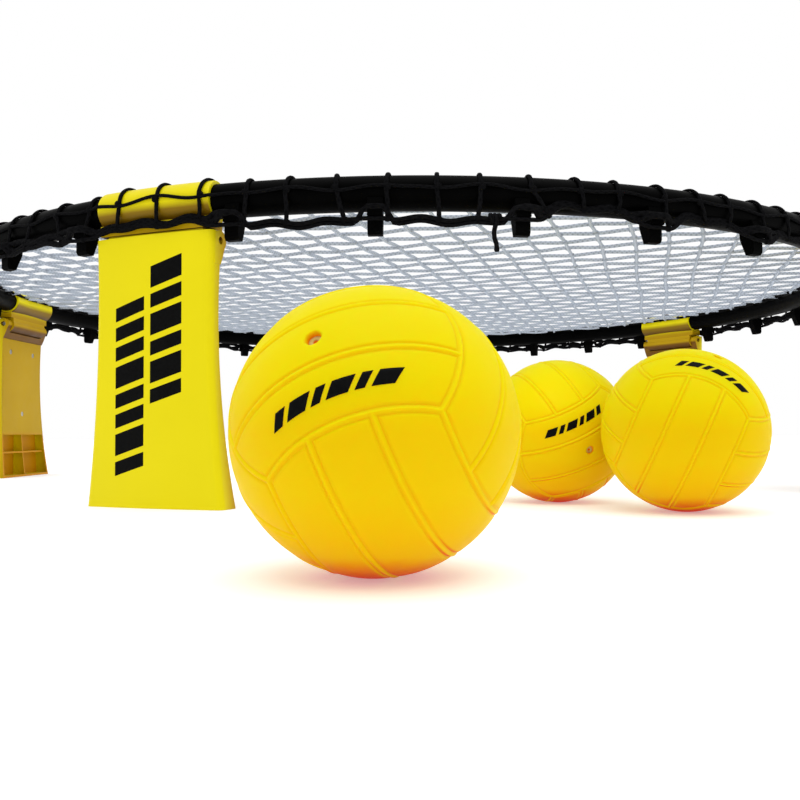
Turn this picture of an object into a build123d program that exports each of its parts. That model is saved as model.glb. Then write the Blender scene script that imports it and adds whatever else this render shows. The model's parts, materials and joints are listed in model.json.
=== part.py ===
"""Roundnet set: a tensioned net on a ring with five folding legs, and three balls.

Millimetres, +Z up. The origin is on the ground under the middle of the net.
A station's angle is measured from -Y towards +X, seen from above.
Inside a station's own frame, +X points outwards, +Y along the rim and +Z up.
"""

from build123d import *

import math
import os

# ---- driving dimensions -------------------------------------------------

RING_RADIUS = 447.0  # centre line of the rim tube
TUBE_HEIGHT = 197.9  # centre line of the rim tube above the ground
TUBE_RADIUS = 11.2
TUBE_WALL = 2.2

LEG_COUNT = 5
FIRST_LEG_ANGLE = -21.5

HEAD_HALF_WIDTH = 42.5  # along the rim
SLEEVE_RADIUS = 13.6
SLEEVE_CLEARANCE = 0.05  # between the tube and its sleeve
SLEEVE_EDGE_RADIUS = 0.9
STOP_WALL_ANGLE = 0.5  # web inside the sleeve that both tubes meet, degrees
TUBE_END_GAP_ANGLE = 0.02

PIVOT_HEIGHT = 172.0
PIN_RADIUS = 2.5
PIN_RUNNING_CLEARANCE = 0.05
PIN_HALF_LENGTH = 43.5
TONGUE_HALF_WIDTH = 37.0  # the head's part of the hinge, along the rim
TONGUE_RADIUS = 8.4
TONGUE_NECK_HALF = 7.5  # half its thickness above the pivot
SHOULDER_HALF_WIDTH = 42.0  # the tongue widens over the leg's lugs
SHOULDER_BOTTOM = 179.5
SHOULDER_FRONT = 9.5  # outwards from the pivot
LUG_INNER = 37.6  # the leg's two lugs start this far from its middle
LUG_OUTER = 45.6
LUG_RADIUS = 6.5

LEG_FRONT = 12.2  # outwards from the pivot to the leg's outer face
LEG_TOP = 177.5  # top of the front wall and the lugs
LEG_SHOULDER = 163.0  # floor of the channel that the tongue turns in
CHANNEL_FRONT = 9.0  # outwards from the pivot
LEG_WAIST_HEIGHT = 93.0
LEG_HALF_WIDTHS = (46.2, 45.6, 53.2)  # at the top, at the waist, at the foot
LEG_BACKS = (-0.6, 0.9, -6.3)  # inner face, outwards from the pivot, at the same heights
LEG_WALL = 2.4
LEG_TOP_WALL = 6.5
LEG_CORNER_RADIUS = 4.5
LEG_RIB_HEIGHTS = (28.0, 60.0, 125.0)
LEG_RIB_THICKNESS = 1.8
RECESS_HEIGHT = 48.0  # open part of the leg's inner side, above the ground

PLATE_THICKNESS = 2.0
PLATE_CLEARANCE = 0.2
SCREW_PLACES = ((-26.0, 142.0), (26.0, 142.0), (0.0, 72.0))  # along the rim, height
BOSS_RADIUS = 3.6
SCREW_RADIUS = 1.3
SCREW_HEAD_RADIUS = 2.6
SCREW_HEAD_HEIGHT = 1.2
SCREW_LENGTH = 6.0

HOOKS_PER_TUBE = 6
FIRST_HOOK_ANGLE = 7.4  # from the leg's middle
HOOK_WIDTH = 9.5
HOOK_BOTTOM = 169.5

PERIMETER_CORD_OFFSET = 14.3  # outwards from the tube's centre line
PERIMETER_CORD_HEIGHT = 179.0
PERIMETER_CORD_RADIUS = 1.4

NET_THICKNESS = 1.2
NET_HEIGHT = 204.0
BORDER_THICKNESS = 0.9
BORDER_GAP = 0.15
BORDER_FROM = -50.0  # round the tube, from its top, positive outwards
BORDER_TO = 98.0

KNOT_ANGLE = 6.5
KNOT_RADIUS = 3.0
TAIL_RADIUS = 1.1
TAIL_LENGTH = 17.0

BALL_RADIUS = 48.5
BALL_WALL = 2.0
VALVE_RADIUS = 2.6
VALVE_FLANGE_RADIUS = 5.0
VALVE_LENGTH = 6.5
NEEDLE_HOLE_RADIUS = 0.6
BALLS = {  # middle of the ball, direction of its valve
    "front": ((-15.0, -696.0), (-0.360, -0.736, 0.574)),
    "right": ((164.0, -464.5), (0.298, -0.380, 0.876)),
    "left": ((101.0, -388.0), (-0.120, -0.891, 0.439)),
}

LEG_PITCH = 360.0 / LEG_COUNT
HEAD_ARC = 2 * math.degrees(HEAD_HALF_WIDTH / RING_RADIUS)
HOOK_PITCH = (LEG_PITCH - 2 * FIRST_HOOK_ANGLE) / (HOOKS_PER_TUBE - 1)
FRONT_RADIUS = RING_RADIUS + LEG_FRONT
PARTS_FOLDER = "parts"


# ---- helpers ------------------------------------------------------------


def station(angle):
    """The frame of the place at this angle round the ring."""
    return Rot(0, 0, angle - 90)


def leg_angle(number):
    return FIRST_LEG_ANGLE + LEG_PITCH * (number - 1)


def turned(section, arc):
    """The section, in the XZ plane, swept round the ring through arc degrees, half each side."""
    return Rot(0, 0, -arc / 2) * revolve(section, Axis.Z, arc)


def on_tube(sketch):
    """A sketch whose origin is the tube's centre line, put into the XZ plane."""
    return Plane.XZ * Pos(RING_RADIUS, TUBE_HEIGHT) * sketch


def slab(low, high):
    """A box between two corners."""
    size = [b - a for a, b in zip(low, high)]
    middle = [(a + b) / 2 for a, b in zip(low, high)]
    return Pos(*middle) * Box(*size)


def tube_point(radius, angle):
    """A point round the tube's section, angle from its top and positive outwards."""
    turn = math.radians(angle)
    return (radius * math.sin(turn), radius * math.cos(turn))


def arc_band(inner, outer, start, end):
    """A strip of a ring section, between two radii and two angles."""
    middle = (start + end) / 2
    a, b, c = (tube_point(outer, t) for t in (start, middle, end))
    d, e, f = (tube_point(inner, t) for t in (end, middle, start))
    outline = [ThreePointArc(a, b, c), Line(c, d), ThreePointArc(d, e, f), Line(f, a)]
    return make_face(outline)


def save(shape, node):
    shape.label = node
    export_step(shape, f"{PARTS_FOLDER}/{node}.step")


# ---- rim ----------------------------------------------------------------


def rim_tube():
    """One hollow rim tube, between the stop webs of two heads."""
    section = on_tube(Circle(TUBE_RADIUS) - Circle(TUBE_RADIUS - TUBE_WALL))
    return turned(section, LEG_PITCH - STOP_WALL_ANGLE - TUBE_END_GAP_ANGLE)


def hook():
    """One hook: it hangs from the tube and its nose holds the perimeter cord down."""
    face = PERIMETER_CORD_OFFSET - PERIMETER_CORD_RADIUS - 0.3
    nose = PERIMETER_CORD_OFFSET + 1.0
    nose_low = PERIMETER_CORD_HEIGHT + PERIMETER_CORD_RADIUS + 0.3 - TUBE_HEIGHT
    bottom = HOOK_BOTTOM - TUBE_HEIGHT
    outline = Polyline(
        (0.5, -5.0),
        (1.5, nose_low),
        (6.0, bottom),
        (face - 1.5, bottom),
        (face, bottom + 2.0),
        (face, nose_low),
        (nose, nose_low),
        (nose - 0.6, nose_low + 2.8),
        (face - 1.0, -5.0),
        close=True,
    )
    section = on_tube(make_face(outline) - Circle(TUBE_RADIUS + 0.02))
    return turned(section, math.degrees(HOOK_WIDTH / FRONT_RADIUS))


# ---- leg head -----------------------------------------------------------


def leg_head():
    """Sleeve on the rim, with a tongue below it that the hinge pin is pressed into."""
    bore = TUBE_RADIUS + SLEEVE_CLEARANCE
    sleeve = turned(on_tube(Circle(SLEEVE_RADIUS)), HEAD_ARC)
    sleeve = fillet(sleeve.edges().filter_by(GeomType.CIRCLE), SLEEVE_EDGE_RADIUS)
    knuckle = Pos(RING_RADIUS, PIVOT_HEIGHT) * Circle(TONGUE_RADIUS)
    neck_height = TUBE_HEIGHT - bore - PIVOT_HEIGHT
    neck = Pos(RING_RADIUS, PIVOT_HEIGHT + neck_height / 2) * Rectangle(2 * TONGUE_NECK_HALF, neck_height)
    tongue = extrude(Plane.XZ * (knuckle + neck), TONGUE_HALF_WIDTH, both=True)
    shoulder = slab(
        (RING_RADIUS - TONGUE_NECK_HALF, -SHOULDER_HALF_WIDTH, SHOULDER_BOTTOM),
        (RING_RADIUS + SHOULDER_FRONT, SHOULDER_HALF_WIDTH, TUBE_HEIGHT - bore),
    )
    head = sleeve + tongue + shoulder - turned(on_tube(Circle(bore)), 2 * HEAD_ARC)
    head += turned(on_tube(Circle(bore)), STOP_WALL_ANGLE)
    return head - pivot_rod(PIN_RADIUS, TONGUE_HALF_WIDTH + 1)


def pivot_rod(radius, half_length):
    """A rod along a leg's hinge axis."""
    return Pos(RING_RADIUS, 0, PIVOT_HEIGHT) * Rot(90, 0, 0) * Cylinder(radius, 2 * half_length)


def hinge_pin():
    """Steel pin pressed into the tongue, for the leg's lugs to turn on."""
    pin = pivot_rod(PIN_RADIUS, PIN_HALF_LENGTH)
    return chamfer(pin.edges().filter_by(GeomType.CIRCLE), 0.5)


# ---- leg ----------------------------------------------------------------


def leg_front_view(inset):
    """The leg's outline seen from outside, in the YZ plane."""
    top, waist, foot = (w - inset for w in LEG_HALF_WIDTHS)
    left = ThreePointArc((-foot, 0), (-waist, LEG_WAIST_HEIGHT), (-top, LEG_TOP))
    right = ThreePointArc((top, LEG_TOP), (waist, LEG_WAIST_HEIGHT), (foot, 0))
    ends = [Line((-top, LEG_TOP), (top, LEG_TOP)), Line((foot, 0), (-foot, 0))]
    return Plane.YZ * make_face([left, ends[0], right, ends[1]])


def leg_side_view(back_shift):
    """The leg's outline seen along the rim, in the XZ plane, with a flat front for now."""
    top, waist, foot = (RING_RADIUS + b + back_shift for b in LEG_BACKS)
    front = FRONT_RADIUS + 5.0
    back = ThreePointArc((foot, 0), (waist, LEG_WAIST_HEIGHT), (top, LEG_TOP))
    rest = Polyline((top, LEG_TOP), (front, LEG_TOP), (front, 0), (foot, 0))
    return Plane.XZ * make_face([back, *rest.edges()])


def leg_block(inset, back_shift, front_inset):
    """The space inside the leg's outlines, behind a front face that follows the rim."""
    reach = FRONT_RADIUS + 20.0
    seen_from_outside = extrude(leg_front_view(inset), reach)
    seen_along_rim = extrude(leg_side_view(back_shift), 80.0, both=True)
    front = Pos(0, 0, LEG_TOP / 2) * Cylinder(FRONT_RADIUS - front_inset, LEG_TOP)
    return seen_from_outside & seen_along_rim & front


def leg_lugs():
    """Two round lugs behind the leg's side walls, which the pin passes through."""
    hub = Pos(RING_RADIUS, PIVOT_HEIGHT) * Circle(LUG_RADIUS)
    low = LEG_SHOULDER - LEG_TOP_WALL
    web = Pos(RING_RADIUS, 0) * make_face(
        Polyline(
            (-LUG_RADIUS, PIVOT_HEIGHT),
            (LEG_BACKS[0] - 2.0, LEG_SHOULDER - 1.5),
            (LEG_BACKS[0] + 0.3, low),
            (LUG_RADIUS, low),
            (LUG_RADIUS, PIVOT_HEIGHT),
            close=True,
        )
    )
    lugs = extrude(Plane.XZ * (hub + web), LUG_OUTER, both=True)
    return lugs - channel()


def channel():
    """The space between the lugs and behind the front wall, where the tongue turns."""
    return slab(
        (RING_RADIUS - 20, -LUG_INNER, LEG_SHOULDER),
        (RING_RADIUS + CHANNEL_FRONT, LUG_INNER, LEG_TOP + 10),
    )


def screw_axis(place):
    """Frame at a screw's place, on the inner face of the back plate, +Z outwards."""
    along, height = place
    return Pos(RING_RADIUS + plate_back(height), along, height) * Rot(0, 90, 0)


def plate_back(height):
    """How far the leg's inner face lies outwards from the pivot at this height."""
    (x1, x2, x3), (z1, z2, z3) = LEG_BACKS, (LEG_TOP, LEG_WAIST_HEIGHT, 0.0)
    first = (height - z2) * (height - z3) / ((z1 - z2) * (z1 - z3))
    second = (height - z1) * (height - z3) / ((z2 - z1) * (z2 - z3))
    third = (height - z1) * (height - z2) / ((z3 - z1) * (z3 - z2))
    return x1 * first + x2 * second + x3 * third


def leg_shell():
    """Hollow moulded leg, open behind, with ribs, screw bosses and the hinge lugs."""
    block = leg_block(0, 0, 0)
    upright = [
        e
        for e in block.edges()
        if e.bounding_box().size.Z > 0.9 * LEG_TOP and e.center().X > RING_RADIUS + 6
    ]
    block = fillet(upright, LEG_CORNER_RADIUS)
    cavity = leg_block(LEG_WALL, -8.0, LEG_WALL)
    cavity &= slab((300, -100, LEG_WALL), (600, 100, LEG_SHOULDER - LEG_TOP_WALL))
    shell = block - cavity
    depth = leg_block(LEG_WALL - 0.5, PLATE_THICKNESS + 0.2, LEG_WALL - 0.5)
    for height in LEG_RIB_HEIGHTS:
        half = LEG_RIB_THICKNESS / 2
        shell += depth & slab((300, -100, height - half), (600, 100, height + half))
    rib_top = LEG_SHOULDER - LEG_TOP_WALL / 2
    upright_rib = slab((300, -LEG_RIB_THICKNESS / 2, 1), (600, LEG_RIB_THICKNESS / 2, rib_top))
    shell += depth & upright_rib
    for place in SCREW_PLACES:
        along, height = place
        column = Pos(RING_RADIUS, along, height) * Rot(0, 90, 0) * Cylinder(BOSS_RADIUS, 60.0)
        shell += depth & column
    shell = shell - channel() + leg_lugs()
    for place in SCREW_PLACES:
        hole = screw_axis(place) * Pos(0, 0, SCREW_LENGTH / 2 + 0.5) * Cylinder(
            SCREW_RADIUS, SCREW_LENGTH + 1.0
        )
        shell -= hole
    return shell - pivot_rod(PIN_RADIUS + PIN_RUNNING_CLEARANCE, 60.0)


def leg_back_plate():
    """Cover that closes the leg's inner side above the recess."""
    outer = leg_block(LEG_WALL + PLATE_CLEARANCE, 0, 0)
    plate = outer - leg_block(0, PLATE_THICKNESS, 0)
    plate &= slab((300, -100, RECESS_HEIGHT), (600, 100, LEG_SHOULDER - LEG_TOP_WALL - PLATE_CLEARANCE))
    for place in SCREW_PLACES:
        plate -= screw_axis(place) * Cylinder(SCREW_RADIUS, 12.0)
        plate -= screw_axis(place) * Cylinder(SCREW_HEAD_RADIUS + 0.1, 2 * SCREW_HEAD_HEIGHT)
    return plate


def leg_screws():
    """Three self-tapping screws, sunk in the back plate."""
    screws = []
    for place in SCREW_PLACES:
        head = Pos(0, 0, SCREW_HEAD_HEIGHT / 2 + 0.1) * Cylinder(SCREW_HEAD_RADIUS, SCREW_HEAD_HEIGHT - 0.2)
        shank = Pos(0, 0, SCREW_LENGTH / 2 + 0.2) * Cylinder(SCREW_RADIUS, SCREW_LENGTH)
        slot = Box(0.7, 3.6, 1.2)
        screws.append(screw_axis(place) * (head + shank - slot))
    return Compound(children=screws)


# ---- net ----------------------------------------------------------------


def net_bed():
    """The net as a thin disc between the tubes' inner sides, level with their tops."""
    rise = NET_HEIGHT - NET_THICKNESS / 2 - TUBE_HEIGHT
    reach = math.sqrt(TUBE_RADIUS**2 - rise**2)
    sleeve_reach = math.sqrt(SLEEVE_RADIUS**2 - rise**2)
    radius = RING_RADIUS - max(reach, sleeve_reach) - 0.3
    return Pos(0, 0, NET_HEIGHT) * Cylinder(radius, NET_THICKNESS)


def net_border():
    """The net's black edge: a thin skin over the tubes that steps up over the heads."""
    low = TUBE_RADIUS + BORDER_GAP
    high = SLEEVE_RADIUS + BORDER_GAP
    over_tube = on_tube(arc_band(low, low + BORDER_THICKNESS, BORDER_FROM, BORDER_TO))
    over_head = on_tube(arc_band(high, high + BORDER_THICKNESS, BORDER_FROM, BORDER_TO))
    step = on_tube(arc_band(low, high + BORDER_THICKNESS, BORDER_FROM, BORDER_TO))
    wide = HEAD_ARC + 2 * math.degrees(0.2 / RING_RADIUS)
    step_arc = math.degrees(BORDER_THICKNESS / RING_RADIUS)
    pieces = []
    for number in range(1, LEG_COUNT + 1):
        here = leg_angle(number)
        pieces.append(station(here) * turned(over_head, wide + step_arc))
        pieces.append(station(here + LEG_PITCH / 2) * turned(over_tube, LEG_PITCH - wide - step_arc))
        for side in (-1, 1):
            edge = here + side * (wide + step_arc) / 2
            pieces.append(station(edge) * turned(step, step_arc))
    border = pieces[0]
    for piece in pieces[1:]:
        border += piece
    return border


def perimeter_cord():
    """The cord that all the hooks hold, pulled into a hoop round the rim's underside."""
    section = Pos(PERIMETER_CORD_OFFSET, PERIMETER_CORD_HEIGHT - TUBE_HEIGHT) * Circle(
        PERIMETER_CORD_RADIUS
    )
    return revolve(on_tube(section), Axis.Z, 360.0)


def cord_knot():
    """The knot that closes the perimeter cord, with its short end hanging down."""
    out = RING_RADIUS + PERIMETER_CORD_OFFSET
    low = PERIMETER_CORD_HEIGHT - PERIMETER_CORD_RADIUS
    knot = Pos(out, 0, low - KNOT_RADIUS + 0.1) * Sphere(KNOT_RADIUS)
    tail = Pos(out, 0, low - KNOT_RADIUS - TAIL_LENGTH / 2) * Cylinder(TAIL_RADIUS, TAIL_LENGTH)
    cord = Pos(out, 0, PERIMETER_CORD_HEIGHT) * Rot(90, 0, 0) * Cylinder(PERIMETER_CORD_RADIUS + 0.3, 12)
    return knot + tail - cord


# ---- balls --------------------------------------------------------------


def ball_frame(middle, valve_direction):
    """The ball's frame: its origin in the middle and +Z through its valve."""
    return Plane(origin=(*middle, BALL_RADIUS), z_dir=valve_direction)


def ball_skin(frame):
    skin = Sphere(BALL_RADIUS) - Sphere(BALL_RADIUS - BALL_WALL)
    skin -= Pos(0, 0, BALL_RADIUS) * Cylinder(VALVE_RADIUS, 4 * BALL_WALL)
    return frame.location * skin


def ball_valve(frame):
    """Rubber plug with a flange inside the skin and a blind needle hole."""
    top = BALL_RADIUS - 0.2
    plug = Pos(0, 0, top - VALVE_LENGTH / 2) * Cylinder(VALVE_RADIUS, VALVE_LENGTH)
    flange_top = BALL_RADIUS - BALL_WALL - 0.5
    flange = Pos(0, 0, flange_top - 0.7) * Cylinder(VALVE_FLANGE_RADIUS, 1.4)
    needle_hole = Pos(0, 0, top) * Cylinder(NEEDLE_HOLE_RADIUS, VALVE_LENGTH)
    return frame.location * (plug + flange - needle_hole)


# ---- the set ------------------------------------------------------------


def main():
    os.makedirs(PARTS_FOLDER, exist_ok=True)
    per_leg = {
        "leg_head": leg_head(),
        "hinge_pin": hinge_pin(),
        "leg_shell": leg_shell(),
        "leg_back_plate": leg_back_plate(),
        "leg_screws": leg_screws(),
    }
    tube, one_hook = rim_tube(), hook()
    for number in range(1, LEG_COUNT + 1):
        here = leg_angle(number)
        for name, shape in per_leg.items():
            save(station(here) * shape, f"{name}_{number}")
        save(station(here + LEG_PITCH / 2) * tube, f"rim_tube_{number}")
        first = here + FIRST_HOOK_ANGLE
        hooks = [station(first + HOOK_PITCH * i) * one_hook for i in range(HOOKS_PER_TUBE)]
        save(Compound(children=hooks), f"net_hooks_{number}")
    save(net_bed(), "net_bed")
    save(net_border(), "net_border")
    save(perimeter_cord(), "perimeter_cord")
    save(station(KNOT_ANGLE) * cord_knot(), "cord_knot")
    for name, (middle, direction) in BALLS.items():
        frame = ball_frame(middle, direction)
        save(ball_skin(frame), f"ball_skin_{name}")
        save(ball_valve(frame), f"ball_valve_{name}")


main()
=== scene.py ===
"""Looks of the roundnet set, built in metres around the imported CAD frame.

A place on the ring is an angle, measured from -Y towards +X, a distance outwards from
the rim tube's centre line, and a height above the ground.
"""

import json
import math
import random

import bpy
import numpy as np
from mathutils import Matrix, Vector


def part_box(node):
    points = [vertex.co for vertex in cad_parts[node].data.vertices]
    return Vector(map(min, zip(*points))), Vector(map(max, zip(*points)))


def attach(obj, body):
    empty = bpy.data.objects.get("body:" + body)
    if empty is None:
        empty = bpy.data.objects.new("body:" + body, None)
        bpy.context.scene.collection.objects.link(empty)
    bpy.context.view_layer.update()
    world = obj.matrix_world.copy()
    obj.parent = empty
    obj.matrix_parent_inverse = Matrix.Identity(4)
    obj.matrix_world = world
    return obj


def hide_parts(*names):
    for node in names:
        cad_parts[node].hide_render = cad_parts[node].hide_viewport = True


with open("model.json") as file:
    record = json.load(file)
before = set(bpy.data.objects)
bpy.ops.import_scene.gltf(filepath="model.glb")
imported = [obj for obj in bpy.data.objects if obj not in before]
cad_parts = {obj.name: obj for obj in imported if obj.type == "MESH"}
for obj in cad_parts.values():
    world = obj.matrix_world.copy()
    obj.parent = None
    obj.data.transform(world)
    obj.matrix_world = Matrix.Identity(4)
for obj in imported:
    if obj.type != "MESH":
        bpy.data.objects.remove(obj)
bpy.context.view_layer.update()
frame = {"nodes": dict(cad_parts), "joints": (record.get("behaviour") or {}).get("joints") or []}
random.seed(7)

MM = 0.001

# ---- sizes read from the frame -----------------------------------------------------

joints = {j["name"]: j for j in frame["joints"]}
leg_joints = [joints[f"leg_{n}_fold"] for n in range(1, 6)]
RING = math.hypot(*leg_joints[0]["pos_m"][:2])  # radius of the tube's centre line
LEG_ANGLES = [math.degrees(math.atan2(j["pos_m"][0], -j["pos_m"][1])) for j in leg_joints]
tube_low, tube_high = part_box("rim_tube_1")
TUBE_Z = (tube_low.z + tube_high.z) / 2
TUBE = (tube_high.z - tube_low.z) / 2  # the tube's outer radius
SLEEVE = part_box("leg_head_1")[1].z - TUBE_Z  # the head's sleeve radius
net_low, net_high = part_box("net_bed")
NET_Z = (net_low.z + net_high.z) / 2
cord_low, cord_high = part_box("perimeter_cord")
HOOP_Z = (cord_low.z + cord_high.z) / 2
HOOP_CORD = (cord_high.z - cord_low.z) / 2
HOOP = cord_high.x - HOOP_CORD - RING  # how far the perimeter cord lies outside the tube's centre
LEG_FRONT = RING + 12.2 * MM  # radius of the legs' outer faces
LEG_TOP = 179 * MM  # the leg's top edge; the head's shoulder begins just above it
RECESS_TOP = 48 * MM  # top of the open recess at the leg's foot
HEAD_HALF_ANGLE = math.degrees(42.5 * MM / RING)
HOOKS_PER_TUBE = 6
FIRST_HOOK = 7.4
HOOK_PITCH = (72.0 - 2 * FIRST_HOOK) / (HOOKS_PER_TUBE - 1)
HOOK_HALF_ANGLE = 0.65  # half of what a hook's nose takes up round the ring, in degrees
HOOK_ROOM = 0.85  # how near to a hook's middle a wrap may cross the rim, in degrees
HOOK_ANGLES = [a + FIRST_HOOK + HOOK_PITCH * i for a in LEG_ANGLES for i in range(HOOKS_PER_TUBE)]

MESH_PITCH = 27 * MM
NET_TURN = -16.5  # one family of the net's lines meets the rim squarely at this angle
NET_CORD = 1.55 * MM
BORDER_CORD = 1.5 * MM  # half its width
BORDER_FLAT = 0.66  # how thin it is pressed against the rim, as a share of its width
THIN_CORD = 1.4 * MM  # radius of the cord along the net's edge and of the slack strands
THICK_CORD = 2.1 * MM  # radius of the drawn strands
BORDER_WRAPS = 95
BORDER_PITCH = 360.0 / BORDER_WRAPS
BORDER_FIRST = -20.7
WRAP_END = 84  # degrees from the top of the tube, outwards, where a wrap leaves the tube
NET_EDGE = RING - 13 * MM  # where the white cords meet the border's inner cord

# ---- mesh helpers ------------------------------------------------------------------


def place(angle, out, height):
    """The point at this angle round the ring, this far outside the tube's centre line."""
    turn = np.radians(angle)
    radius = RING + np.asarray(out, float)
    return np.stack(
        np.broadcast_arrays(radius * np.sin(turn), -radius * np.cos(turn), height), axis=-1
    )


def outward(angle):
    turn = math.radians(angle)
    return np.array([math.sin(turn), -math.cos(turn), 0.0])


def along_rim(angle):
    turn = math.radians(angle)
    return np.array([math.cos(turn), math.sin(turn), 0.0])


def smooth_line(points, per_span):
    """A Catmull-Rom line through the points, with this many steps in each span."""
    points = np.asarray(points, float)
    ends = np.vstack([2 * points[0] - points[1], points, 2 * points[-1] - points[-2]])
    steps = np.linspace(0, 1, per_span, endpoint=False)[:, None]
    spans = []
    for a, b, c, d in zip(ends, ends[1:], ends[2:], ends[3:]):
        spans.append(
            0.5
            * (
                2 * b
                + (c - a) * steps
                + (2 * a - 5 * b + 4 * c - d) * steps**2
                + (3 * b - a - 3 * c + d) * steps**3
            )
        )
    return np.vstack([*spans, points[-1:]])


class Builder:
    """Gathers swept cords and other shapes into one mesh with a UV map.

    On a cord, U runs once round it and V is the distance along it in metres.
    """

    def __init__(self):
        self.points, self.faces, self.uvs, self.count = [], [], [], 0

    def add(self, points, faces, uvs=None):
        self.points.append(np.asarray(points, float))
        for k, face in enumerate(faces):
            self.faces.append([i + self.count for i in face])
            self.uvs.append(uvs[k] if uvs is not None else [(0.5, 0.5)] * len(face))
        self.count += len(points)

    def sweep(self, line, radius, sides=8, up=(0, 0, 1), closed=False, flat=1.0):
        """A cord along a line. up is never parallel to the line; flat below 1 thins the cord that way."""
        line = np.asarray(line, float)
        n = len(line)
        if closed:
            ahead, behind = np.roll(line, -1, 0), np.roll(line, 1, 0)
        else:
            ahead = np.vstack([line[1:], 2 * line[-1:] - line[-2:-1]])
            behind = np.vstack([2 * line[:1] - line[1:2], line[:-1]])
        run = ahead - behind
        run /= np.linalg.norm(run, axis=1)[:, None]
        lift = np.broadcast_to(np.asarray(up, float), line.shape)
        lift = lift - (lift * run).sum(1)[:, None] * run
        lift /= np.linalg.norm(lift, axis=1)[:, None]
        side = np.cross(run, lift)
        radius = np.broadcast_to(np.asarray(radius, float), (n,))[:, None, None]
        turn = np.arange(sides) * 2 * math.pi / sides
        ring = (
            np.cos(turn)[None, :, None] * side[:, None] + flat * np.sin(turn)[None, :, None] * lift[:, None]
        )
        points = (line[:, None] + radius * ring).reshape(-1, 3)
        steps = np.linalg.norm(np.diff(line, axis=0), axis=1)
        length = np.concatenate([[0], np.cumsum(steps)])
        if closed:
            length = np.append(length, length[-1] + np.linalg.norm(line[0] - line[-1]))
        faces, uvs = [], []
        for i in range(n if closed else n - 1):
            j = (i + 1) % n
            for k in range(sides):
                m = (k + 1) % sides
                faces.append([i * sides + k, i * sides + m, j * sides + m, j * sides + k])
                u, v = (k / sides, (k + 1) / sides), (length[i], length[i + 1])
                uvs.append([(u[0], v[0]), (u[1], v[0]), (u[1], v[1]), (u[0], v[1])])
        if not closed:
            faces.append(list(range(sides))[::-1])
            faces.append([(n - 1) * sides + k for k in range(sides)])
            uvs += [[(0.5, 0.0)] * sides, [(0.5, length[-1])] * sides]
        self.add(points, faces, uvs)

    def blob(self, middle, sizes, axes=None, rings=5, sides=8):
        """An ellipsoid: a knot seen from a little way off."""
        axes = np.eye(3) if axes is None else np.asarray(axes, float)
        points = [np.array([0, 0, 1.0])]
        for i in range(1, rings):
            tilt = math.pi * i / rings
            for k in range(sides):
                turn = 2 * math.pi * k / sides
                points.append(
                    [math.sin(tilt) * math.cos(turn), math.sin(tilt) * math.sin(turn), math.cos(tilt)]
                )
        points.append([0, 0, -1.0])
        points = np.array(points) * np.asarray(sizes, float) @ axes + np.asarray(middle, float)
        faces = [[0, 1 + k, 1 + (k + 1) % sides] for k in range(sides)]
        for i in range(rings - 2):
            a, b = 1 + i * sides, 1 + (i + 1) * sides
            faces += [[a + k, b + k, b + (k + 1) % sides, a + (k + 1) % sides] for k in range(sides)]
        last, a = len(points) - 1, 1 + (rings - 2) * sides
        faces += [[a + k, last, a + (k + 1) % sides] for k in range(sides)]
        uvs = [[(points[i][0] * 40, points[i][1] * 40) for i in face] for face in faces]
        self.add(points, faces, uvs)

    def lathe(self, outline, origin, axis, sides=32):
        """A closed outline of (radius, height) turned about an axis through origin."""
        axis = Vector(axis).normalized()
        turn_to = axis.to_track_quat("Z", "Y").to_matrix()
        points, faces, n = [], [], len(outline)
        for k in range(sides):
            turn = 2 * math.pi * k / sides
            for radius, height in outline:
                local = Vector((radius * math.cos(turn), radius * math.sin(turn), height))
                points.append(Vector(origin) + turn_to @ local)
        for k in range(sides):
            a, b = k * n, (k + 1) % sides * n
            faces += [[a + i, b + i, b + (i + 1) % n, a + (i + 1) % n] for i in range(n)]
        self.add([tuple(p) for p in points], faces)

    def object(self, name, material, body, slot, smooth=True, weld=0.0):
        mesh = bpy.data.meshes.new(name)
        mesh.from_pydata(np.vstack(self.points).tolist(), [], self.faces)
        layer = mesh.uv_layers.new(name="Cord")
        layer.data.foreach_set("uv", np.array([uv for face in self.uvs for uv in face]).ravel())
        mesh.update()
        if weld:
            join_close_points(mesh, weld)
        mesh.polygons.foreach_set("use_smooth", [smooth] * len(mesh.polygons))
        mesh.materials.append(material)
        obj = bpy.data.objects.new(name, mesh)
        bpy.context.scene.collection.objects.link(obj)
        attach(obj, body)
        return obj


def join_close_points(mesh, distance):
    import bmesh

    work = bmesh.new()
    work.from_mesh(mesh)
    bmesh.ops.remove_doubles(work, verts=work.verts, dist=distance)
    bmesh.ops.dissolve_degenerate(work, edges=work.edges, dist=distance / 10)
    bmesh.ops.recalc_face_normals(work, faces=work.faces)
    work.to_mesh(mesh)
    work.free()


# ---- materials ---------------------------------------------------------------------


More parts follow.
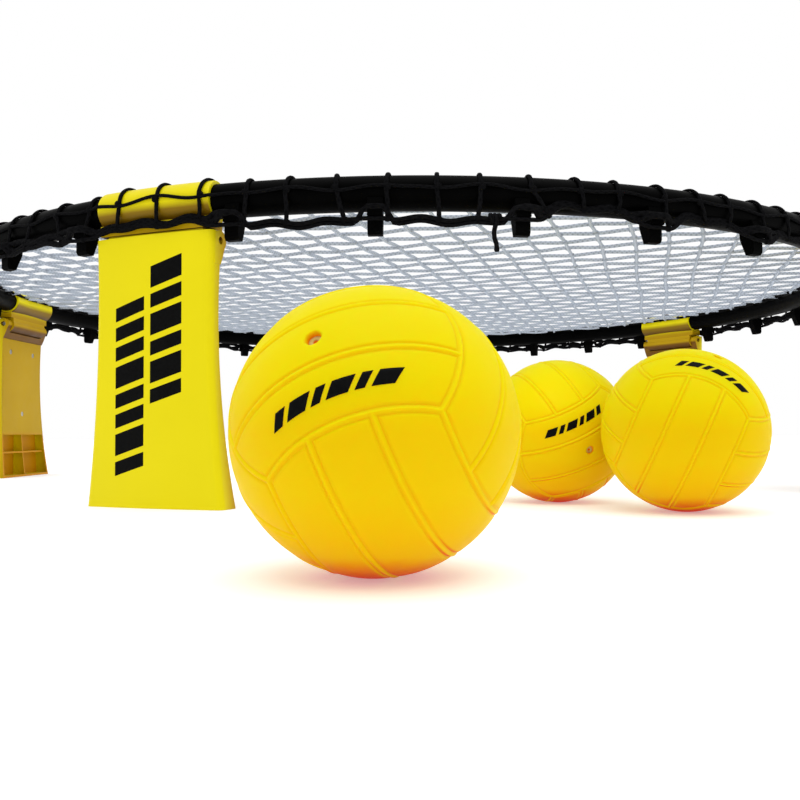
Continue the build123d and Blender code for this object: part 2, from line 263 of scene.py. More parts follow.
class Nodes:
    """A short way to write a material's nodes."""

    def __init__(self, name):
        self.material = bpy.data.materials.new(name)
        self.material.use_nodes = True
        self.tree = self.material.node_tree
        self.tree.nodes.clear()
        self.output = self.tree.nodes.new("ShaderNodeOutputMaterial")
        self.shader = self.tree.nodes.new("ShaderNodeBsdfPrincipled")
        self.tree.links.new(self.shader.outputs[0], self.output.inputs[0])

    def set(self, **values):
        for name, value in values.items():
            socket = self.shader.inputs[name.replace("_", " ")]
            self.plug(value, socket)
        return self

    def plug(self, value, socket):
        if isinstance(value, bpy.types.NodeSocket):
            self.tree.links.new(value, socket)
        else:
            socket.default_value = value

    def node(self, kind, inputs=(), **settings):
        made = self.tree.nodes.new("ShaderNode" + kind)
        for name, value in settings.items():
            setattr(made, name, value)
        for name, value in dict(inputs).items():
            self.plug(value, made.inputs[name])
        return made

    def where(self):
        return self.node("TexCoord").outputs["Object"]

    def cord_uv(self):
        return self.node("UVMap", uv_map="Cord").outputs[0]

    def noise(self, scale, detail=3.0, rough=0.5, vector=None):
        inputs = {"Scale": scale, "Detail": detail, "Roughness": rough, "Vector": vector or self.where()}
        return self.node("TexNoise", inputs).outputs["Fac"]

    def ramp(self, value, *stops):
        """Blends between (position, colour or grey) stops."""
        made = self.node("ValToRGB", {"Fac": value})
        elements = made.color_ramp.elements
        elements[0].position, elements[1].position = stops[0][0], stops[-1][0]
        for at, _ in stops[1:-1]:
            elements.new(at)
        for element, (_, colour) in zip(elements, stops):
            grey = isinstance(colour, (int, float))
            element.color = (colour, colour, colour, 1) if grey else (*colour, 1)
        return made.outputs[0]

    def remap(self, value, start, end):
        """0 at start, 1 at end, and straight between them."""
        return self.node("MapRange", {"Value": value, "From Min": start, "From Max": end}).outputs[0]

    def tilt(self):
        """0 where the surface faces the ground, a half where it is upright, 1 where it faces up."""
        normal = self.node("SeparateXYZ", {0: self.node("NewGeometry").outputs["Normal"]})
        return self.math("MULTIPLY_ADD", normal.outputs[2], 0.5, 0.5)

    def math(self, operation, a, b=0.0, c=0.0):
        return self.node("Math", {0: a, 1: b, 2: c}, operation=operation).outputs[0]

    def mix(self, share, a, b, blend="MIX"):
        made = self.node("Mix", data_type="RGBA", blend_type=blend)
        self.plug(share, made.inputs[0])
        for value, socket in ((a, made.inputs[6]), (b, made.inputs[7])):
            self.plug(value if isinstance(value, bpy.types.NodeSocket) else (*value, 1), socket)
        return made.outputs[2]

    def bump(self, height, distance, strength=1.0):
        made = self.node("Bump", {"Height": height, "Distance": distance, "Strength": strength})
        self.tree.links.new(made.outputs[0], self.shader.inputs["Normal"])
        return self


# Painted shade: orange in the recess at a leg's foot, deep amber on the head's shoulder under the sleeve.
RECESS_PAINTED_SHADE = (0.62, 0.27, 0.0010)
SHOULDER_PAINTED_SHADE = (0.44, 0.23, 0.0010)


def moulded_yellow():
    """Moulded plastic: fine grain, a faint mottle and scuffs.

    Painted shade makes it amber on the sides that face the ring's middle, orange in the recess
    at the foot, deep amber on the head's shoulder, and darker where it faces the ground.
    """
    n = Nodes("moulded_yellow")
    mottle = n.noise(9, 4)
    scuff = n.noise(60, 6, 0.7)
    colour = n.ramp(mottle, (0.3, (0.79, 0.675, 0.0016)), (0.7, (0.84, 0.725, 0.0026)))
    # painted shade: amber for faces that look towards the ring's middle, orange in the recess at the foot
    amber = n.ramp(mottle, (0.3, (0.50, 0.30, 0.0012)), (0.7, (0.58, 0.36, 0.0018)))
    spot = n.node("SeparateXYZ", {0: n.where()})
    height = spot.outputs[2]
    square = n.math("MULTIPLY", spot.outputs[0], spot.outputs[0])
    square = n.math("MULTIPLY_ADD", spot.outputs[1], spot.outputs[1], square)
    radius = n.math("SQRT", square)
    normal = n.node("SeparateXYZ", {0: n.node("NewGeometry").outputs["Normal"]})
    facing = n.math("MULTIPLY", normal.outputs[0], spot.outputs[0])
    facing = n.math("MULTIPLY_ADD", normal.outputs[1], spot.outputs[1], facing)
    facing = n.math("DIVIDE", facing, radius)  # 1 on faces that look outwards, -1 on those that look in
    # masks for the painted shade on the inner faces and in the recess at the foot
    inwards = n.remap(facing, -0.2, -0.8)
    inside = n.math("MAXIMUM", n.remap(radius, RING + 10 * MM, RING - 1 * MM), inwards)
    foot = n.remap(height, RECESS_TOP + 4 * MM, RECESS_TOP - 4 * MM)
    amber = n.mix(n.math("MULTIPLY", foot, inwards), amber, RECESS_PAINTED_SHADE)
    on_leg = n.remap(height, TUBE_Z - SLEEVE, LEG_TOP - 1 * MM)
    colour = n.mix(n.math("MULTIPLY", inside, on_leg), colour, amber)
    # painted shade: a deep amber band on the head's shoulder, between the leg's top and the sleeve
    over_leg = n.remap(height, LEG_TOP - 0.2 * MM, LEG_TOP + 0.4 * MM)
    under_sleeve = n.remap(height, LEG_TOP + 11 * MM, LEG_TOP + 4 * MM)
    shoulder = n.math("MULTIPLY", n.math("MULTIPLY", over_leg, under_sleeve), 0.8)
    colour = n.mix(shoulder, colour, SHOULDER_PAINTED_SHADE)
    # painted shade: darker on faces that look towards the ground
    shade = n.ramp(n.tilt(), (0.10, (0.15, 0.09, 0.05)), (0.32, (0.31, 0.21, 0.12)), (0.49, (1, 1, 1)))
    colour = n.mix(1.0, colour, shade, "MULTIPLY")
    n.set(Base_Color=colour, Roughness=n.ramp(scuff, (0.35, 0.36), (0.75, 0.52)))
    n.set(Specular_IOR_Level=0.12)
    return n.bump(n.noise(1500, 2), 0.00004, 0.6).material


def rim_black():
    """Black extruded plastic with a fine grain and dull handling marks."""
    n = Nodes("rim_black")
    marks = n.noise(70, 5, 0.65)
    n.set(Base_Color=n.ramp(marks, (0.3, 0.0004), (0.8, 0.0016)))
    n.set(Roughness=n.ramp(marks, (0.3, 0.34), (0.75, 0.5)), Specular_IOR_Level=0.012)
    return n.bump(n.noise(900, 2), 0.00003, 0.5).material


def hook_black():
    n = Nodes("hook_black")
    grain = n.noise(700, 3)
    n.set(Base_Color=n.ramp(grain, (0.3, 0.0006), (0.8, 0.002)), Roughness=0.6, Specular_IOR_Level=0.012)
    return n.bump(grain, 0.00005, 0.6).material


def braided(name, dark, light, plies, pitch, roughness):
    """Cord: plies wound round it, with painted highlight on the crowns, painted shade in the gaps, and
    soiled stretches.
    """
    n = Nodes(name)
    uv = n.node("SeparateXYZ", {0: n.cord_uv()})
    turn = n.math("MULTIPLY", uv.outputs[0], 2 * math.pi * plies)
    run = n.math("MULTIPLY", uv.outputs[1], 2 * math.pi / pitch)
    one = n.math("SINE", n.math("ADD", turn, run))
    other = n.math("SINE", n.math("SUBTRACT", turn, run))
    crowns = n.math("MAXIMUM", one, other)
    height = n.math("MULTIPLY_ADD", crowns, 0.5, 0.5)
    soiled = n.noise(120, 4, 0.6)
    # painted highlight and shade from the plies' height, mixed with the soiled stretches
    share = n.math("MULTIPLY_ADD", soiled, 0.5, n.math("MULTIPLY", height, 0.5))
    n.set(Base_Color=n.ramp(share, (0.15, dark), (0.75, light)), Roughness=roughness)
    n.set(Specular_IOR_Level=0.03)
    return n.bump(height, 0.00025, 0.7).material


def ball_rubber():
    """Soft matt rubber, with painted shade deeper along the seams and orange down the valve's hole."""
    n = Nodes("ball_rubber")
    cloud = n.noise(14, 4)
    shade = n.node("SeparateXYZ", {0: n.cord_uv()})
    # painted light and shade by which way the surface faces: red-orange glow at the bottom where it meets
    # the floor, amber lower down, lemon on top
    colour = n.ramp(
        n.math("MULTIPLY_ADD", cloud, 0.05, n.tilt()),
        (0.035, (0.70, 0.03, 0.0004)),
        (0.07, (0.74, 0.17, 0.0005)),
        (0.13, (0.77, 0.44, 0.0006)),
        (0.34, (0.79, 0.55, 0.0007)),
        (0.52, (0.80, 0.555, 0.0009)),
        (0.70, (0.80, 0.65, 0.0008)),
        (1.0, (0.79, 0.69, 0.0010)),
    )
    # painted shade in the grooves beside the seams
    colour = n.mix(n.math("MULTIPLY", shade.outputs[1], 0.22), colour, (0.76, 0.36, 0.0006))
    # painted shade: orange down the valve's hole
    colour = n.mix(shade.outputs[0], colour, (0.78, 0.13, 0.0010))
    n.set(Base_Color=colour, Roughness=n.ramp(n.noise(200, 4), (0.3, 0.42), (0.7, 0.54)))
    n.set(Subsurface_Weight=0.5, Subsurface_Radius=(0.025, 0.005, 0.0005), Subsurface_Scale=1.0)
    n.set(Specular_IOR_Level=0.03)
    pebble = n.node("TexVoronoi", {"Scale": 1400.0, "Vector": n.where()}).outputs["Distance"]
    return n.bump(pebble, 0.00003, 0.5).material


def valve_rubber():
    n = Nodes("valve_rubber")
    grain = n.noise(900, 3)
    n.set(Base_Color=n.ramp(grain, (0.3, (0.60, 0.42, 0.12)), (0.7, (0.70, 0.52, 0.20))), Roughness=0.6)
    n.set(Specular_IOR_Level=0.1)
    return n.bump(grain, 0.00004, 0.6).material


def print_ink():
    """Flat black ink with pinholes where the grain of the plastic shows."""
    n = Nodes("print_ink")
    wear = n.noise(500, 5, 0.7)
    n.set(Base_Color=n.ramp(wear, (0.35, 0.0015), (0.85, 0.006)))
    n.set(Roughness=n.ramp(wear, (0.3, 0.42), (0.7, 0.6)), Specular_IOR_Level=0.04)
    return n.bump(wear, 0.00003, 0.5).material


def zinc_steel():
    n = Nodes("zinc_steel")
    brush = n.noise(350, 5, 0.6)
    n.set(Base_Color=n.ramp(brush, (0.3, (0.42, 0.42, 0.41)), (0.7, (0.62, 0.62, 0.60))), Metallic=1.0)
    n.set(Roughness=n.ramp(brush, (0.3, 0.28), (0.7, 0.45)))
    return n.bump(brush, 0.00003, 0.5).material


YELLOW = moulded_yellow()
RIM = rim_black()
HOOK = hook_black()
# the net's white cords are coloured blue-grey, well below white: painted shade of their underside
NET_WHITE = braided("net_white", (0.25, 0.29, 0.35), (0.48, 0.53, 0.61), 2, 4 * MM, 0.7)
CORD_BLACK = braided("cord_black", (0.0006, 0.0006, 0.0008), (0.0045, 0.0045, 0.0052), 3, 6 * MM, 0.75)
RUBBER = ball_rubber()
VALVE = valve_rubber()
INK = print_ink()
STEEL = zinc_steel()

# ---- CAD nodes that show -----------------------------------------------------------

NODE_MATERIALS = {
    "leg_head": YELLOW,
    "leg_shell": YELLOW,
    "leg_back_plate": YELLOW,
    "rim_tube": RIM,
    "net_hooks": HOOK,
    "hinge_pin": STEEL,
    "leg_screws": STEEL,
}
for name, node in frame["nodes"].items():
    kind = name.rsplit("_", 1)[0]
    if kind in NODE_MATERIALS:
        node.data.materials.clear()
        node.data.materials.append(NODE_MATERIALS[kind])

# ---- net ---------------------------------------------------------------------------


def net_warp(x, y):
    """How far the net's cords stray from a true grid: slack and pull, more near the rim."""
    reach = np.hypot(x, y) / RING
    rim = np.clip((reach - 0.75) / 0.25, 0, 1) ** 2
    dx = 1.3 * np.sin(23 * y + 5 * x) + 0.9 * np.sin(41 * x - 17 * y + 1.3) + 3.0 * rim * np.sin(60 * y)
    dy = 1.2 * np.sin(19 * x - 7 * y + 0.7) + 0.9 * np.sin(37 * y + 13 * x) + 3.0 * rim * np.sin(55 * x + 1)
    sag = -1.2 * (1 - np.clip(reach, 0, 1) ** 2)
    return dx * MM, dy * MM, sag * MM


def net_point(a, b):
    """A point of the net from its distances along and across the net's turned grid."""
    d, t = outward(NET_TURN), along_rim(NET_TURN)
    x, y = a * d[0] + b * t[0], a * d[1] + b * t[1]
    dx, dy, dz = net_warp(x, y)
    return np.stack([x + dx, y + dy, NET_Z + dz], axis=-1)


def build_net():
    cords, knots = Builder(), Builder()
    lines = int(NET_EDGE / MESH_PITCH) + 1
    shifts = [(i + 0.5) * MESH_PITCH for i in range(-lines, lines)]
    shifts = [shift for shift in shifts if abs(shift) < NET_EDGE - 8 * MM]
    for family in (0, 1):
        for i, shift in enumerate(shifts):
            half = math.sqrt(NET_EDGE**2 - shift**2)
            steps = max(8, int(2 * half / MESH_PITCH * 4))
            run = np.linspace(-half, half, steps)
            still = np.full(steps, shift)
            line = net_point(run, still) if family == 0 else net_point(still, run)
            over = 0.7 * MM * np.cos(math.pi * (run / MESH_PITCH - 0.5)) * (1 if (i + family) % 2 else -1)
            line[:, 2] += over
            cords.sweep(line, NET_CORD, 6)
    for i, a in enumerate(shifts):
        for b in shifts:
            if math.hypot(a, b) < NET_EDGE - 3 * MM:
                middle = net_point(np.array([a]), np.array([b]))[0]
                turn = random.uniform(0, math.pi)
                axes = Matrix.Rotation(turn, 3, "Z")
                size = random.uniform(0.9, 1.1)
                knots.blob(middle, (3.1 * MM * size, 2.6 * MM * size, 1.9 * MM), axes, 4, 8)
    cords = cords.object("net_cords", NET_WHITE, "frame", "net_cord")
    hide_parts("net_bed")
    knots.object("net_knots", NET_WHITE, "frame", "net_cord")


build_net()

# ---- black edge of the net ---------------------------------------------------------


def head_share(angle):
    """1 over a leg head, 0 over the bare tube, with a short ramp between."""
    angle = np.asarray(angle, float)
    gap = np.min([np.abs((angle - a + 180) % 360 - 180) for a in LEG_ANGLES], axis=0)
    ramp = np.clip((HEAD_HALF_ANGLE + 0.6 - gap) / 0.7, 0, 1)
    return ramp * ramp * (3 - 2 * ramp)


def wrap_radius(angle):
    """Radius of a border cord's centre line round the tube or round a head's sleeve."""
    return TUBE + BORDER_FLAT * BORDER_CORD + 0.05 * MM + head_share(angle) * (SLEEVE - TUBE)


def border_angles():
    """Where the border's cords cross the rim: nearly even, and beside the hooks."""
    angles = []
    for i in range(BORDER_WRAPS):
        angle = BORDER_FIRST + BORDER_PITCH * i + random.uniform(-0.25, 0.25)
        for hook in HOOK_ANGLES:
            gap = (angle - hook + 180) % 360 - 180
            if abs(gap) < HOOK_ROOM:
                angle += math.copysign(HOOK_ROOM, gap) - gap
        angles.append(angle)
    return angles


def span_pull(number):
    """How far the net pulls the perimeter cord up between two hooks, 0 to 1."""
    near = {0: -0.08, 1: -0.06, 2: 1.0, 3: 0.85, 4: 0.6}  # the spans that face the camera
    return near.get(int(number), random.Random(int(number)).uniform(0.05, 0.4))


def hoop_line(angle):
    """The perimeter cord: down under each hook's nose, and pulled up towards the rim between hooks."""
    angle = np.asarray(angle, float)
    from_leg = (angle - LEG_ANGLES[0]) % 72.0
    leg = ((angle - LEG_ANGLES[0]) % 360.0) // 72.0
    step = (from_leg - FIRST_HOOK) / HOOK_PITCH
    over_head = (step < 0) | (step > HOOKS_PER_TUBE - 1)
    number = (leg * HOOKS_PER_TUBE + np.floor(step)).astype(int)
    pull = np.array([span_pull(k) for k in number.ravel()]).reshape(number.shape)
    pull = np.where(over_head, 0.38, pull)
    gap = np.min([np.abs((angle - a + 180) % 360 - 180) for a in HOOK_ANGLES], axis=0)
    rise = np.clip((gap - HOOK_HALF_ANGLE) / 3.0, 0, 1)
    rise = rise * rise * (3 - 2 * rise)
    wave = 0.8 * np.sin(np.radians(angle) * BORDER_WRAPS) + 0.7 * np.sin(np.radians(angle) * 61 + 1.0)
    free = np.clip((gap - HOOK_HALF_ANGLE) / 0.8, 0, 1)
    out = HOOP - rise * np.where(over_head, 0.6, pull * 4.4) * MM
    height = HOOP_Z + (rise * np.where(over_head, 3.6, pull * 9.2) + free * wave) * MM
    return place(angle, out, height)


def faces_camera(angle):
    """Whether an angle lies in the two spans in front, where the net's drawn edge hangs slack."""
    from_leg = (angle - LEG_ANGLES[0]) % 360.0
    return (from_leg > FIRST_HOOK) & (from_leg < FIRST_HOOK + 2 * HOOK_PITCH)


DRAWN_STRANDS = (  # mean level and swing as shares of the gap, phase, and slack in mm
    (0.50, 0.38, 0.8, -0.9),
    (0.28, 0.22, 2.9, -2.4),
    (0.80, 0.26, 4.7, -1.7),
)


def drawcord_line(angle, level, swing, phase, slack):
    """A strand of the net's drawn edge: it weaves between the perimeter cord and the rim.

    In the two open spans that face the camera it lies along the cord, slack above or below it.
    """
    hoop = hoop_line(angle)
    out = np.hypot(hoop[:, 0], hoop[:, 1]) - RING
    gap = np.min([np.abs((angle - a + 180) % 360 - 180) for a in HOOK_ANGLES], axis=0)
    free = np.clip((gap - 0.6) / 1.0, 0, 1)
    free = free * free * (3 - 2 * free)
    below = TUBE_Z - TUBE - head_share(angle) * (SLEEVE - TUBE)
    room = np.clip(below - hoop[:, 2], 3 * MM, None)
    weave = room * (level + swing * np.sin(np.radians(angle) * BORDER_WRAPS / 2 + phase))
    over_hook = (6.2 + 1.2 * level) * MM
    height = hoop[:, 2] + free * np.where(faces_camera(angle), slack, weave) + (1 - free) * over_hook
    return place(angle, out + (2.6 - (3.6 + level) * free) * MM, height)


def add_wrap(cords, knots, angle):
    """One cord of the border: from the net over the tube and down to the perimeter cord, with its knots."""
    radius = float(wrap_radius(angle))
    start = math.degrees(math.asin((NET_Z - TUBE_Z) / radius)) - 90
    turns = np.linspace(start, WRAP_END, 12)
    out = np.sin(np.radians(turns)) * radius
    height = TUBE_Z + np.cos(np.radians(turns)) * radius
    lean = angle + np.linspace(-0.15, 0.15, len(turns)) * random.choice((-1, 1))
    over = place(lean, out, height)
    inner = NET_EDGE - RING
    first = place(lean[0], [inner, (inner + out[0]) / 2], NET_Z)
    slant = random.uniform(-0.6, 1.2)
    foot = hoop_line(np.array([angle + slant]))[0]
    foot_out = math.hypot(foot[0], foot[1]) - RING
    way = place(
        angle + 0.5 * slant,
        max((out[-1] + foot_out) / 2 - 0.2 * MM, TUBE + BORDER_CORD + 0.3 * MM),
        (height[-1] + foot[2]) / 2,
    )
    line = smooth_line(np.vstack([first, over, way[None], foot[None]]), 2)
    cords.sweep(line, BORDER_CORD, 8, line - place(angle, 0, TUBE_Z), flat=BORDER_FLAT)
    axes = np.array([along_rim(angle), outward(angle), [0, 0, 1]])
    knots.blob(place(angle, out[-1] + 0.2 * MM, height[-1]), (2.5 * MM, 1.3 * MM, 2.3 * MM), axes, 6, 10)
    knots.blob(foot, (2.7 * MM, 1.9 * MM, 2.1 * MM), axes, 6, 10)
    knots.blob(first[0], (2.4 * MM, 2.6 * MM, 1.8 * MM), axes, 5, 8)


def add_long_cords(cords):
    """The border's cords that run round the ring: on the tube, along the net's edge, and drawn."""
    angles = np.arange(0, 360, 0.4)
    side = wrap_radius(angles) + 0.1 * MM
    weave = np.sin(np.radians(angles) * BORDER_WRAPS / 2) * np.sin(np.radians(angles) * 13)
    turn = np.radians(WRAP_END + 9 * weave)
    ledge = place(angles, side * np.sin(turn), TUBE_Z + side * np.cos(turn))
    cords.sweep(ledge, 1.15 * MM, 8, closed=True)
    cords.sweep(place(angles, NET_EDGE - RING, NET_Z + 0 * angles), THIN_CORD, 8, closed=True)
    thick = np.where(faces_camera(angles), THIN_CORD, THICK_CORD)
    for level, swing, phase, slack in DRAWN_STRANDS:
        cords.sweep(drawcord_line(angles, level, swing, phase, slack * MM), thick, 8, closed=True)


def build_border():
    cords, knots = Builder(), Builder()
    for angle in border_angles():
        add_wrap(cords, knots, angle)
    add_long_cords(cords)
    cords = cords.object("border_cords", CORD_BLACK, "frame", "border_cord")
    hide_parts("net_border")
    knots.object("border_knots", CORD_BLACK, "frame", "border_cord")


def build_hoop():
    hoop = Builder()
    angles = np.arange(0, 360, 0.3)
    hoop.sweep(hoop_line(angles), HOOP_CORD, 10, closed=True)
    hoop = hoop.object("hoop_cord", CORD_BLACK, "frame", "border_cord")
    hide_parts("perimeter_cord")


def build_knot():
    """An overhand knot round the hoop cord, with its short sealed end hanging from it."""
    low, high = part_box("cord_knot")
    middle = (low + high) / 2
    angle = math.degrees(math.atan2(middle.x, -middle.y))
    knot = Builder()
    turns = np.linspace(0, 4.5 * math.pi, 40)
    t, o = along_rim(angle), outward(angle)
    loop = (
        hoop_line(np.array([angle]))[0]
        + np.outer(np.linspace(-3, 3, 40) * MM, t)
        + np.outer(np.cos(turns) * 2.4 * MM, [0, 0, 1])
        + np.outer(np.sin(turns) * 2.2 * MM, o)
    )
    knot.sweep(loop, 1.5 * MM, 8, t * 0.3 + o * 0.2 + np.array([0, 0, 0.1]))
    drop = [
        (0.5, 1.0, -1.0),
        (0.2, 1.4, -4.0),
        (-0.6, 0.6, -8.0),
        (-0.2, -0.2, -12.0),
        (0.8, 0.2, -16.0),
        (1.0, 0.4, -20.5),
    ]
    base = place(angle, HOOP, HOOP_Z)
    line = smooth_line([base + a * MM * t + b * MM * o + np.array([0, 0, c * MM]) for a, b, c in drop], 6)
    width = np.full(len(line), 1.5 * MM)
    width[-4:] = (1.6 * MM, 1.75 * MM, 1.7 * MM, 1.2 * MM)
    knot.sweep(line, width, 10, o)
    knot = knot.object("hoop_knot", CORD_BLACK, "frame", "border_cord")
    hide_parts("cord_knot")


build_border()
build_hoop()
build_knot()

# ---- balls -------------------------------------------------------------------------

BALL_TURNS = {  # the valve's direction, and the direction its panels run
    "front": ((-0.360, -0.736, 0.574), (0.917, -0.164, 0.364)),
    "right": ((0.298, -0.380, 0.876), (0.874, -0.259, -0.411)),
    "left": ((0.278, -0.925, -0.257), (-0.891, -0.149, -0.428)),
}
INNER_SEAM = math.radians(12.0)  # latitude of the two seams inside each group of three panels
OUTER_SEAM = math.asin(1 / math.sqrt(3))  # latitude of the seams along a group's long sides
SEAMS = (-OUTER_SEAM, -INNER_SEAM, INNER_SEAM, OUTER_SEAM)
VALVE_HOLE = 2.5  # mm
VALVE_DEPTH = 2.3


def ball_axes(name):
    """Rows: along the panels round the valve, across them, and out through the valve."""
    valve, along = (Vector(v).normalized() for v in BALL_TURNS[name])
    along = (along - along.dot(valve) * valve).normalized()
    return np.array([along, valve.cross(along), valve])


def panel_lines(radius):
    """Latitudes of a group's grid lines, close together at the seams and near the valve."""
    near = (0, 0.25, 0.5, 0.75, 1.0, 1.25, 1.5, 1.8, 2.4, 3.2)  # mm from a seam
    lines = {round(seam + way * d / radius, 7) for seam in SEAMS for d in near for way in (-1, 1)}
    lines |= {round(way * d / radius, 7) for d in np.arange(0, 3.5, 0.28) for way in (-1, 1)}
    edge = round(OUTER_SEAM, 7)
    lines = sorted(line for line in lines if abs(line) <= edge)
    filled = [lines[0]]
    for line in lines[1:]:
        gap = line - filled[-1]
        steps = max(1, math.ceil(gap * radius / 1.9))
        filled += [line - gap * (steps - 1 - i) / steps for i in range(steps)]
    return np.array(filled)


def seam_height(distance):
    """A raised bead along the seam with a fine groove each side, and softly rounded panels."""
    bead = 0.34 * np.exp(-((distance / 0.58) ** 2))
    groove = 0.36 * np.exp(-(((distance - 1.2) / 0.42) ** 2))
    shoulder = 0.20 * np.exp(-distance / 3.2)
    return bead - groove - shoulder


def build_ball(name):
    low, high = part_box(f"ball_skin_{name}")
    middle = np.array((low + high) / 2)
    radius = (high.z - low.z) / 2 + 0.3 * MM
    size = radius / MM
    axes = ball_axes(name)
    lines = panel_lines(size)
    n = len(lines)
    ball = Builder()
    x, y, z = np.eye(3)
    # Each group of panels: its outward axis, the axis the panels run along, and the one across them.
    for out, along, across in ((z, x, y), (-z, x, -y), (y, z, x), (-y, z, -x), (x, y, z), (-x, y, -z)):
        share = np.arcsin(np.clip(np.sin(lines) / math.cos(OUTER_SEAM), -1, 1)) / (math.pi / 4)
        latitude = np.broadcast_to(lines[None], (n, n))
        end = np.arccos(math.sin(OUTER_SEAM) / np.cos(latitude))
        longitude = share[:, None] * end
        way = (
            (np.cos(latitude) * np.cos(longitude))[..., None] * out
            + (np.cos(latitude) * np.sin(longitude))[..., None] * along
            + np.sin(latitude)[..., None] * across
        )
        gaps = [np.abs(latitude - seam) for seam in SEAMS]
        gaps.append(np.abs(np.arcsin(np.clip(way @ out, -1, 1)) - OUTER_SEAM))
        distance = np.min(gaps, axis=0) * size
        height = seam_height(distance)
        groove = np.exp(-(((distance - 1.25) / 0.5) ** 2))
        hole = np.zeros((n, n))
        if out is z:
            from_valve = np.arccos(np.clip(way @ z, -1, 1)) * size
            hole = np.clip((VALVE_HOLE + 0.2 - from_valve) / 0.4, 0, 1)
            height = height - VALVE_DEPTH * hole - 0.25 * np.exp(-np.abs(from_valve - VALVE_HOLE) / 0.8)
        points = (way * (radius + height * MM)[..., None]).reshape(-1, 3) @ axes + middle
        index = np.arange(n * n).reshape(n, n)
        quads = np.stack([index[:-1, :-1], index[1:, :-1], index[1:, 1:], index[:-1, 1:]], -1).reshape(-1, 4)
        # masks for the painted shade in the valve's hole and the seams' grooves, carried in the UV map
        shade = np.stack([hole.ravel(), groove.ravel()], -1)
        ball.add(points, quads.tolist(), shade[quads].tolist())
    body = f"ball_{name}"
    skin = ball.object(f"{body}_cover", RUBBER, body, "ball_rubber", weld=0.005 * MM)
    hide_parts(f"ball_skin_{name}")
    top = middle + axes[2] * (radius - VALVE_DEPTH * MM)
    outline = [(2.6, 0.1), (1.9, 0.25), (1.2, 0.3), (0.85, 0.15), (0.7, -0.3), (0.65, -2.0), (0.02, -2.2)]
    outline += [(0.02, -4.0), (2.6, -4.0)]
    valve = Builder()
    valve.lathe([(r * MM, h * MM) for r, h in outline], top, axes[2])
    valve = valve.object(f"{body}_valve_plug", VALVE, body, "valve_rubber", weld=0.001 * MM)
    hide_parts(f"ball_valve_{name}")
    return middle, radius, axes


DASHES = ((-24.5, -19.5), (-17.0, -8.0), (-5.5, -1.5), (1.0, 10.0), (12.5, 16.5), (19.0, 28.0))
DASH_LATITUDE = -23.6  # the middle of the panel beside the valve's
DASH_HALF_HEIGHT = 2.8
DASH_LEAN = 2.2


def ball_stripe(name, middle, radius, axes):
    """A plain row of printed dashes on the panel beside the valve."""
    stripe = Builder()
    x, y, z = axes
    for first, last in DASHES:
        rows = []
        for level in np.linspace(-1, 1, 7):
            latitude = math.radians(DASH_LATITUDE + level * DASH_HALF_HEIGHT)
            turn = np.radians(np.linspace(first, last, 12) + level * DASH_LEAN)[:, None]
            rows.append(math.cos(latitude) * (np.cos(turn) * z + np.sin(turn) * x) + math.sin(latitude) * y)
        plate_on_ball(stripe, np.stack(rows), middle, radius)
    return stripe.object(f"ball_{name}_stripe", INK, f"ball_{name}", "ball_rubber")


def plate_on_ball(builder, way, middle, radius):
    """A thin closed patch of ink that follows the ball."""
    low = way * (radius - 0.45 * MM) + middle
    high = way * (radius + 0.06 * MM) + middle
    closed_grid(builder, low, high)


def closed_grid(builder, low, high):
    """A closed slab between two grids of points of one shape."""
    rows, columns = low.shape[:2]
    count = rows * columns
    points = np.vstack([low.reshape(-1, 3), high.reshape(-1, 3)])
    index = np.arange(count).reshape(rows, columns)
    faces = []
    for i in range(rows - 1):
        for j in range(columns - 1):
            quad = [index[i, j], index[i, j + 1], index[i + 1, j + 1], index[i + 1, j]]
            faces.append(quad)
            faces.append([q + count for q in quad[::-1]])
    rim = [*index[0, :], *index[1:, -1], *index[-1, -2::-1], *index[-2:0:-1, 0]]
    for a, b in zip(rim, rim[1:] + rim[:1]):
        faces.append([b, a, a + count, b + count])
    builder.add(points, [[int(i) for i in f] for f in faces])


for ball in BALL_TURNS:
    ball_stripe(ball, *build_ball(ball))

# ---- prints on the legs ------------------------------------------------------------

COLUMNS = (  # mm: left and right edge across the leg, then each bar's foot and how tall it is
    (-27.5, -4.5, [(24, 9), (37, 14), (55, 9), (68, 9), (81, 14), (99, 9), (112, 9), (125, 9)]),
    (0.5, 24.0, [(71, 9), (84, 14), (102, 9), (115, 14), (133, 9), (146, 14)]),
)
SLANT = 7.0  # mm that a bar rises from left to right


def build_leg_print(number, angle):
    bars = Builder()
    for left, right, stack in COLUMNS:
        for foot, tall in stack:
            across = np.linspace(left, right, 8)
            share = (across - left) / (right - left)
            grid = []
            for level in np.linspace(0, tall, 6):
                heights = (foot + level + SLANT * (share - 0.5)) * MM
                grid.append(place(angle + np.degrees(across * MM / LEG_FRONT), LEG_FRONT - RING, heights))
            grid = np.array(grid)
            normal = grid * [1, 1, 0]
            normal /= np.linalg.norm(normal, axis=-1)[..., None]
            closed_grid(bars, grid - normal * 0.3 * MM, grid + normal * 0.08 * MM)
    bars.object(f"leg_{number}_print", INK, f"leg_{number}", "leg_plastic", smooth=False)


for number, angle in enumerate(LEG_ANGLES, 1):
    build_leg_print(number, angle)

# ---- stage -------------------------------------------------------------------------


def add_floor():
    size = 6.0
    mesh = bpy.data.meshes.new("floor")
    corners = [(-size, -size, 0), (size, -size, 0), (size, size, 0), (-size, size, 0)]
    mesh.from_pydata([(x, y, -0.1 * MM) for x, y, _ in corners], [], [(0, 1, 2, 3)])
    n = Nodes("white_floor")
    n.set(Base_Color=n.ramp(n.noise(3, 2), (0.3, 0.90), (0.7, 0.92)), Roughness=0.7)
    n.set(Specular_IOR_Level=0.1, Emission_Color=(1, 1, 1, 1), Emission_Strength=0.3)
    mesh.materials.append(n.material)
    floor = bpy.data.objects.new("floor", mesh)
    bpy.context.scene.collection.objects.link(floor)


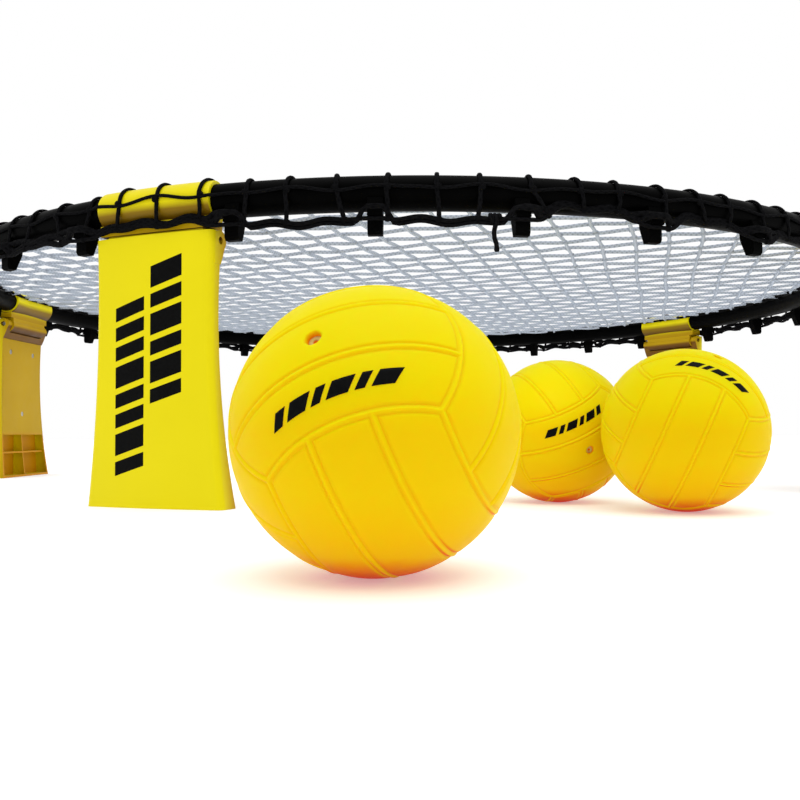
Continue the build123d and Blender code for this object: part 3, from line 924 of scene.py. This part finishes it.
def add_sun(name, towards, strength, softness):
    """A broad soft light from a direction, the same all over the floor."""
    light = bpy.data.lights.new(name, "SUN")
    light.energy = strength
    light.angle = math.radians(softness)
    lamp = bpy.data.objects.new(name, light)
    lamp.rotation_euler = Vector(towards).to_track_quat("Z", "Y").to_euler()
    bpy.context.scene.collection.objects.link(lamp)


def add_spot(name, place_at, aim, power, cone):
    """A narrow soft light from a point, on one thing that the ring would leave too dark."""
    light = bpy.data.lights.new(name, "SPOT")
    light.energy = power
    light.spot_size = math.radians(cone)
    light.spot_blend = 0.6
    light.shadow_soft_size = 0.03
    lamp = bpy.data.objects.new(name, light)
    lamp.location = place_at
    lamp.rotation_euler = (Vector(place_at) - Vector(aim)).to_track_quat("Z", "Y").to_euler()
    bpy.context.scene.collection.objects.link(lamp)


def add_camera():
    """Low in front of the balls, looking a little up at the underside of the net."""
    pitch, roll = math.radians(2.13), -0.0054
    camera = bpy.data.cameras.new("camera")
    camera.lens, camera.sensor_width = 39.4, 36.0
    camera.clip_start = 0.01
    rig = bpy.data.objects.new("camera", camera)
    turn = Matrix.Rotation(math.pi / 2 + pitch, 4, "X") @ Matrix.Rotation(roll, 4, "Z")
    rig.matrix_world = Matrix.Translation((-0.0066, -0.9914, 0.048)) @ turn
    bpy.context.scene.collection.objects.link(rig)
    bpy.context.scene.camera = rig


def add_world():
    """White walls on three sides and a dimmer room behind the camera; the backdrop itself shows white."""
    world = bpy.data.worlds.new("studio")
    world.use_nodes = True
    background = world.node_tree.nodes["Background"]
    background.inputs[0].default_value = (1, 1, 1, 1)
    tree = world.node_tree

    def link(kind, socket, **inputs):
        node = tree.nodes.new(kind)
        for name, value in inputs.items():
            node.inputs[name.replace("_", " ")].default_value = value
        if socket is not None:
            tree.links.new(socket, node.inputs[0])
        return node

    way = link("ShaderNodeSeparateXYZ", link("ShaderNodeTexCoord", None).outputs["Generated"])
    walls = link("ShaderNodeMapRange", way.outputs[1], From_Min=-0.8, From_Max=0.3, To_Min=0.52, To_Max=0.9)
    seen = link("ShaderNodeLightPath", None).outputs["Is Camera Ray"]
    strength = link("ShaderNodeMath", walls.outputs[0])
    strength.operation = "MAXIMUM"
    tree.links.new(seen, strength.inputs[1])
    tree.links.new(strength.outputs[0], background.inputs[1])
    bpy.context.scene.world = world


add_floor()
add_world()
add_sun("key", (0.1, -0.4, 1.6), 1.38, 60)
add_spot("fill", (0.02, -0.60, 0.30), (0.095, -0.39, 0.055), 1.0, 24)
add_camera()
bpy.context.scene.view_settings.view_transform = "Standard"
